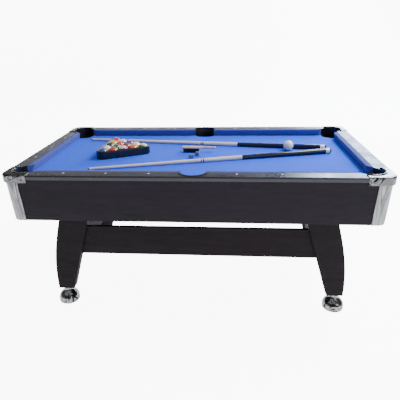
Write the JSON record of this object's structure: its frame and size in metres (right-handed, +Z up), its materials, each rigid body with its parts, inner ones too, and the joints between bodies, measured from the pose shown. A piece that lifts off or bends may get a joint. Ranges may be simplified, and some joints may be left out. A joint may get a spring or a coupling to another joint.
{
  "type": "mini pool table",
  "caption": "Compact pool table on splayed panel legs, blue cloth, drop pockets, chromed corners and levelling feet, with a loose play set of balls, rack, cues, brush and chalk.",
  "frame": {"origin": "on the floor under the middle of the playing bed", "axes": "+X along the table to the right end, +Y to the back, +Z up"},
  "size_m": [1.83, 1.008, 0.8175],
  "materials": {
    "bed_board": "unfinished board",
    "cloth": "napped wool blend",
    "rail_laminate": "gloss black laminate on board",
    "cushion": "cloth-covered rubber",
    "pocket_black": "moulded black",
    "chrome": "polished plating",
    "satin_silver": "satin silver",
    "cabinet_black": "satin black laminate",
    "cue_ball": "polished resin",
    "object_balls": "polished resin, colours vary",
    "rack_black": "moulded black",
    "cue_shaft": "clear varnish",
    "cue_butt": "gloss lacquer",
    "brush_wood": "varnished",
    "bristles": "dense bristle",
    "chalk": "pressed chalk with a paper wrap"
  },
  "bodies": {
    "table": {"play_bed": "bed_board", "left_bed_beam": "bed_board", "middle_bed_beam": "bed_board", "right_bed_beam": "bed_board", "bed_cloth": "cloth", "front_rail": "rail_laminate", "back_rail": "rail_laminate", "left_rail": "rail_laminate", "right_rail": "rail_laminate", "front_left_cushion": "cushion", "front_right_cushion": "cushion", "back_left_cushion": "cushion", "back_right_cushion": "cushion", "left_end_cushion": "cushion", "right_end_cushion": "cushion", "front_left_pocket_liner": "pocket_black", "front_right_pocket_liner": "pocket_black", "back_left_pocket_liner": "pocket_black", "back_right_pocket_liner": "pocket_black", "front_middle_pocket_liner": "pocket_black", "back_middle_pocket_liner": "pocket_black", "front_left_corner_cap": "chrome", "front_right_corner_cap": "chrome", "back_left_corner_cap": "chrome", "back_right_corner_cap": "chrome", "front_left_corner_trim": "satin_silver", "front_right_corner_trim": "satin_silver", "back_left_corner_trim": "satin_silver", "back_right_corner_trim": "satin_silver", "front_apron": "cabinet_black", "back_apron": "cabinet_black", "left_apron": "cabinet_black", "right_apron": "cabinet_black", "bottom_panel": "cabinet_black", "front_left_leg": "cabinet_black", "front_right_leg": "cabinet_black", "back_left_leg": "cabinet_black", "back_right_leg": "cabinet_black", "front_stretcher": "cabinet_black", "back_stretcher": "cabinet_black", "left_end_stretcher": "cabinet_black", "right_end_stretcher": "cabinet_black"},
    "front_left_foot": {"front_left_levelling_foot": "chrome"},
    "front_right_foot": {"front_right_levelling_foot": "chrome"},
    "back_left_foot": {"back_left_levelling_foot": "chrome"},
    "back_right_foot": {"back_right_levelling_foot": "chrome"},
    "cue_ball": {"cue_ball": "cue_ball"},
    "object_balls": {"object_balls": "object_balls"},
    "rack": {"ball_rack": "rack_black"},
    "back_cue": {"back_cue_butt": "cue_butt", "back_cue_shaft": "cue_shaft"},
    "front_cue": {"front_cue_butt": "cue_butt", "front_cue_shaft": "cue_shaft"},
    "brush": {"brush_handle": "brush_wood", "brush_bristles": "bristles"},
    "chalk_one": {"chalk_1": "chalk"},
    "chalk_two": {"chalk_2": "chalk"}
  },
  "joints": [
    {"name": "front_left_foot_thread", "type": "slide", "parent": "table", "child": "front_left_foot", "axis": [0, 0, -1], "range_m": [0, 0.02]},
    {"name": "front_right_foot_thread", "type": "slide", "parent": "table", "child": "front_right_foot", "axis": [0, 0, -1], "range_m": [0, 0.02]},
    {"name": "back_left_foot_thread", "type": "slide", "parent": "table", "child": "back_left_foot", "axis": [0, 0, -1], "range_m": [0, 0.02]},
    {"name": "back_right_foot_thread", "type": "slide", "parent": "table", "child": "back_right_foot", "axis": [0, 0, -1], "range_m": [0, 0.02]},
    {"name": "cue_ball_lift", "type": "slide", "parent": "table", "child": "cue_ball", "axis": [0, 0, 1], "range_m": [0, 0.3]},
    {"name": "object_balls_lift", "type": "slide", "parent": "table", "child": "object_balls", "axis": [0, 0, 1], "range_m": [0, 0.3]},
    {"name": "rack_lift", "type": "slide", "parent": "table", "child": "rack", "axis": [0, 0, 1], "range_m": [0, 0.3]},
    {"name": "back_cue_lift", "type": "slide", "parent": "table", "child": "back_cue", "axis": [0, 0, 1], "range_m": [0, 0.3]},
    {"name": "front_cue_lift", "type": "slide", "parent": "table", "child": "front_cue", "axis": [0, 0, 1], "range_m": [0, 0.3]},
    {"name": "brush_lift", "type": "slide", "parent": "table", "child": "brush", "axis": [0, 0, 1], "range_m": [0, 0.3]},
    {"name": "chalk_one_lift", "type": "slide", "parent": "table", "child": "chalk_one", "axis": [0, 0, 1], "range_m": [0, 0.3]},
    {"name": "chalk_two_lift", "type": "slide", "parent": "table", "child": "chalk_two", "axis": [0, 0, 1], "range_m": [0, 0.3]}
  ]
}
